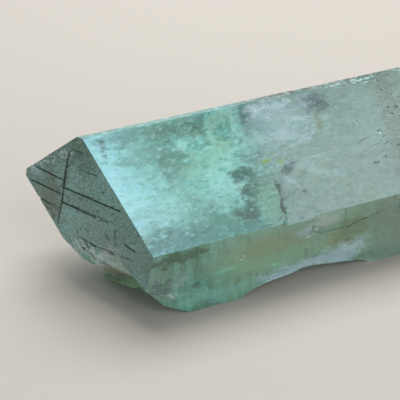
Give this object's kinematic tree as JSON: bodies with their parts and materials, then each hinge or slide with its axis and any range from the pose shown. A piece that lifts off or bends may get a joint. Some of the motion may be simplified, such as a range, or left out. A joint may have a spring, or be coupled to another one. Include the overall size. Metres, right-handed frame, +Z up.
{
  "type": "hiddenite crystal",
  "caption": "Loose translucent green spodumene crystal: slanted etched end face, wide main face, broken root and underside, lying on its underside.",
  "frame": {"origin": "middle of the crystal's outer box, on the surface that it lies on", "axes": "+X along the crystal from the slanted end face to the broken root, +Z up, -Y on the side of the wide main face"},
  "size_m": [0.0748, 0.0256, 0.0256],
  "materials": {
    "hiddenite": "translucent pale green spodumene, glassy on the growth faces and frosted on the etched end face and the breaks"
  },
  "bodies": {
    "root": {"crystal": "hiddenite"}
  },
  "joints": []
}
